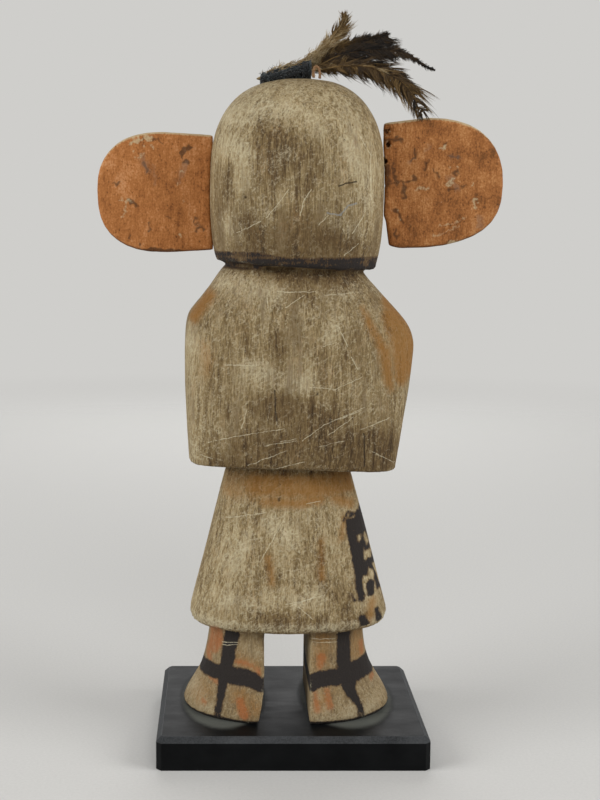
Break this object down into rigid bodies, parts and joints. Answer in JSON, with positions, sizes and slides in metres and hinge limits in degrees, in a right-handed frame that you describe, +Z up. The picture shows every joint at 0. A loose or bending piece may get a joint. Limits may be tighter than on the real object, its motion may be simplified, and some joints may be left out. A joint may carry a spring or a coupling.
{
  "type": "kachina doll on a plinth",
  "caption": "Carved wooden kachina doll with board ears, a kilt and tied feathers on its domed head, standing on a bevelled plinth.",
  "frame": {"origin": "middle of the plinth's underside", "axes": "+Z up, the doll faces -Y and its left hand is towards +X"},
  "size_m": [0.1585, 0.0864, 0.2879],
  "materials": {
    "plinth_black": "black satin lacquer",
    "figure_paint": "worn matt clay paint",
    "ear_paint": "worn matt ochre paint",
    "yarn": "dark wool",
    "hide": "raw tan",
    "feather": "soft barbs"
  },
  "bodies": {
    "root": {"plinth": "plinth_black", "carved_figure": "figure_paint", "left_ear": "ear_paint", "right_ear": "ear_paint", "yarn_wrap": "yarn", "hide_tie": "hide", "feather_drooping": "feather", "feather_low": "feather", "feather_long": "feather", "feather_high": "feather", "feather_upright": "feather"}
  },
  "joints": []
}
